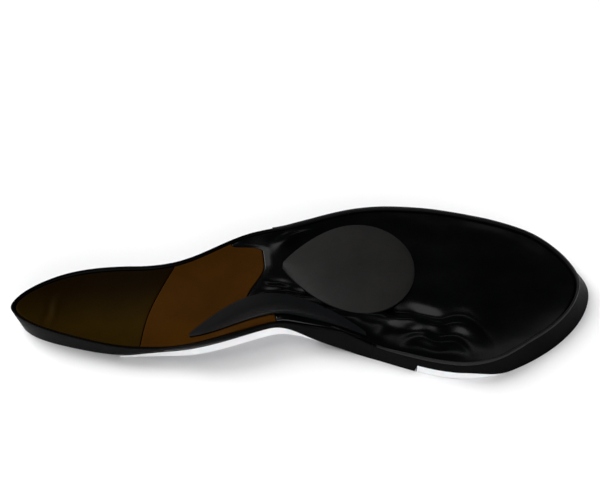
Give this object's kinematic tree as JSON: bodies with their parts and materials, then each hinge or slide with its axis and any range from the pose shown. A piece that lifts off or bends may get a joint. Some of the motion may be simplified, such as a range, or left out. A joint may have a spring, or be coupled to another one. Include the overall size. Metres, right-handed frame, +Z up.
{
  "type": "full-length foot orthosis",
  "caption": "Full-length insole orthosis for a left foot: hard shell with heel cup and raised arch, amber rear cover, glossy black front cover, teardrop and arch pads, white posts.",
  "frame": {"origin": "on the ground, below the middle of the insole's overall length and breadth", "axes": "+X from the heel to the toes, -Y to the inner (arch) side of a left foot, +Z up"},
  "size_m": [0.265, 0.101, 0.0183],
  "materials": {
    "black_shell": "satin",
    "black_foam": "satin",
    "amber_leather_dark": "satin",
    "amber_leather": "satin",
    "black_leather": "glossy",
    "grey_foam": "satin",
    "black_gel": "glossy",
    "edge_welt": "satin",
    "white_foam": "matt"
  },
  "bodies": {
    "root": {"shell": "black_shell", "fore_base": "black_foam", "heel_cover": "amber_leather_dark", "arch_cover": "amber_leather", "fore_cover": "black_leather", "metatarsal_pad": "grey_foam", "arch_pad": "black_gel", "toe_rim": "edge_welt", "arch_post": "white_foam", "forefoot_post": "white_foam"}
  },
  "joints": []
}
